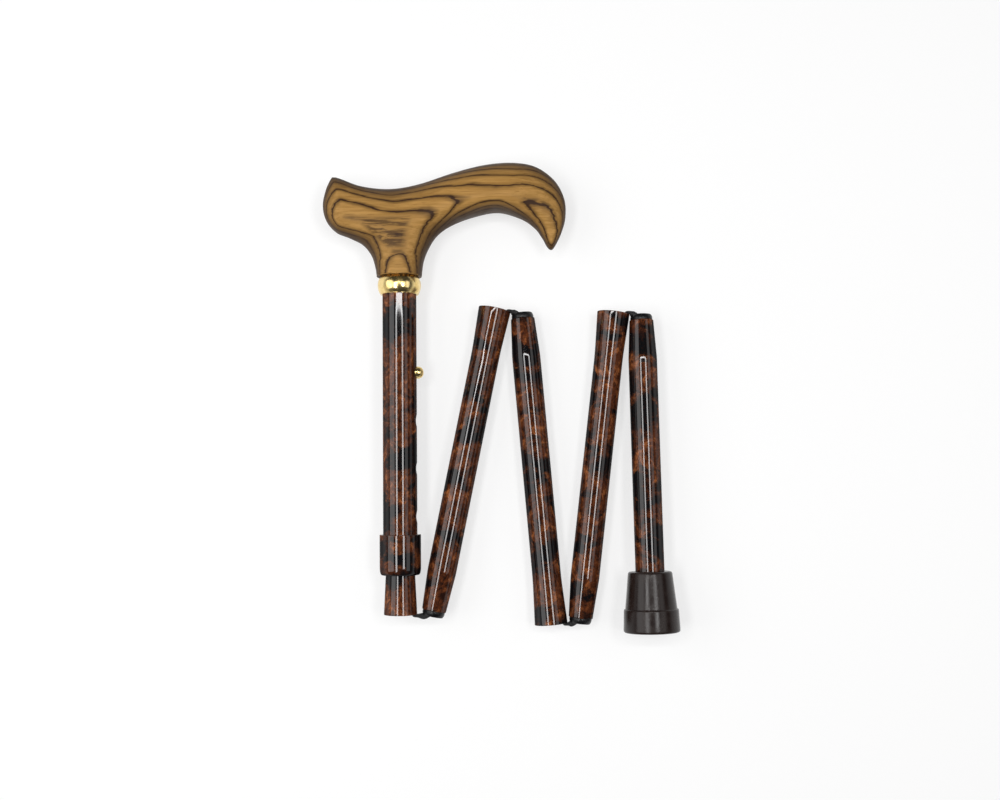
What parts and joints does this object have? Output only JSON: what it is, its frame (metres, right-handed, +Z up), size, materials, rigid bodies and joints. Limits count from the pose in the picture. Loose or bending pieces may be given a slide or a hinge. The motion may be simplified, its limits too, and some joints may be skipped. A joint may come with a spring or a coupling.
{
  "type": "folding cane",
  "caption": "Folding walking cane with a derby handle, height-adjustable upper tube and cord-linked sections, folded in a zigzag and laid flat.",
  "frame": {"origin": "on the table, below the middle of the folded cane's box", "axes": "+Z up from the table, +Y along the upper tube towards the handle, +X from the handle section towards the foot section"},
  "size_m": [0.1871, 0.2504, 0.0303],
  "materials": {
    "handle_wood": "laminated wood with dark growth layers, satin lacquer",
    "dowel_wood": "plain turned wood",
    "brass": "polished brass",
    "lacquer": "aluminium tube with a glossy mottled rust-brown and black burl finish",
    "black_plastic": "moulded black plastic",
    "elastic": "braided cover over elastic strands",
    "foot_rubber": "dark brown moulded rubber",
    "steel": "zinc-plated steel"
  },
  "bodies": {
    "upper": {"handle": "handle_wood", "handle_dowel": "dowel_wood", "handle_screw": "steel", "neck_ring": "brass", "upper_tube": "lacquer", "lock_bush": "black_plastic"},
    "collar": {"lock_collar": "lacquer"},
    "adjuster": {"adjuster_tube": "lacquer", "top_anchor": "black_plastic", "top_knot": "elastic", "cord_1": "elastic"},
    "button": {"snap_button": "brass"},
    "section_2": {"tube_2": "lacquer", "plug_2": "black_plastic", "cord_2": "elastic"},
    "section_3": {"tube_3": "lacquer", "plug_3": "black_plastic", "cord_3": "elastic"},
    "section_4": {"tube_4": "lacquer", "plug_4": "black_plastic", "cord_4": "elastic"},
    "section_5": {"tube_5": "lacquer", "plug_5": "black_plastic", "cord_5": "elastic", "bottom_anchor": "black_plastic", "bottom_knot": "elastic", "foot": "foot_rubber", "foot_washer": "steel"},
    "link_1": {"cord_bend_1": "elastic"},
    "link_2": {"cord_bend_2": "elastic"},
    "link_3": {"cord_bend_3": "elastic"},
    "link_4": {"cord_bend_4": "elastic"}
  },
  "joints": [
    {"name": "collar_turn", "type": "hinge", "parent": "upper", "child": "collar", "pos_m": [-0.0528, -0.08323, 0.01514], "axis": [0, 1, 0], "range_deg": [0, 270]},
    {"name": "height_adjust", "type": "slide", "parent": "upper", "child": "adjuster", "axis": [0, -1, 0], "range_m": [0, 0.0762]},
    {"name": "button_press", "type": "slide", "parent": "adjuster", "child": "button", "axis": [-1, 0, 0], "range_m": [0, 0.0052], "stiffness_N_per_m": 1200, "deforming": ["snap_button"]},
    {"name": "plug_in_1", "type": "slide", "parent": "adjuster", "child": "link_1", "axis": [0, 1, 0], "range_m": [0, 0.0198]},
    {"name": "unfold_1", "type": "hinge", "parent": "link_1", "child": "section_2", "pos_m": [-0.04439, -0.11435, 0.01407], "axis": [-0.1259, 0, -0.992], "range_deg": [0, 168.1], "deforming": ["cord_bend_1"]},
    {"name": "plug_in_2", "type": "slide", "parent": "section_2", "child": "link_2", "axis": [-0.2046, -0.9785, 0.026], "range_m": [0, 0.0198]},
    {"name": "unfold_2", "type": "hinge", "parent": "link_2", "child": "section_3", "pos_m": [0.00522, 0.04527, 0.0082], "axis": [0.0701, 0.0118, 0.9975], "range_deg": [0, 163.5], "deforming": ["cord_bend_2"]},
    {"name": "plug_in_3", "type": "slide", "parent": "section_3", "child": "link_3", "axis": [-0.0812, 0.9967, -0.0061], "range_m": [0, 0.0198]},
    {"name": "unfold_3", "type": "hinge", "parent": "link_3", "child": "section_4", "pos_m": [0.03385, -0.12, 0.00885], "axis": [0.0206, -0.0044, -0.9998], "range_deg": [0, 168.3], "deforming": ["cord_bend_3"]},
    {"name": "plug_in_4", "type": "slide", "parent": "section_4", "child": "link_4", "axis": [-0.1226, -0.9925, 0.0019], "range_m": [0, 0.0198]},
    {"name": "unfold_4", "type": "hinge", "parent": "link_4", "child": "section_5", "pos_m": [0.06914, 0.04357, 0.0099], "axis": [-0.16, 0.0216, 0.9869], "range_deg": [0, 172.1], "deforming": ["cord_bend_4"]}
  ],
  "couplings": [
    {"joint": "plug_in_2", "follows": "plug_in_1", "ratio": 1},
    {"joint": "unfold_2", "follows": "unfold_1", "ratio": 0.97264},
    {"joint": "plug_in_3", "follows": "plug_in_1", "ratio": 1},
    {"joint": "unfold_3", "follows": "unfold_1", "ratio": 1.0012},
    {"joint": "plug_in_4", "follows": "plug_in_1", "ratio": 1},
    {"joint": "unfold_4", "follows": "unfold_1", "ratio": 1.0238}
  ]
}
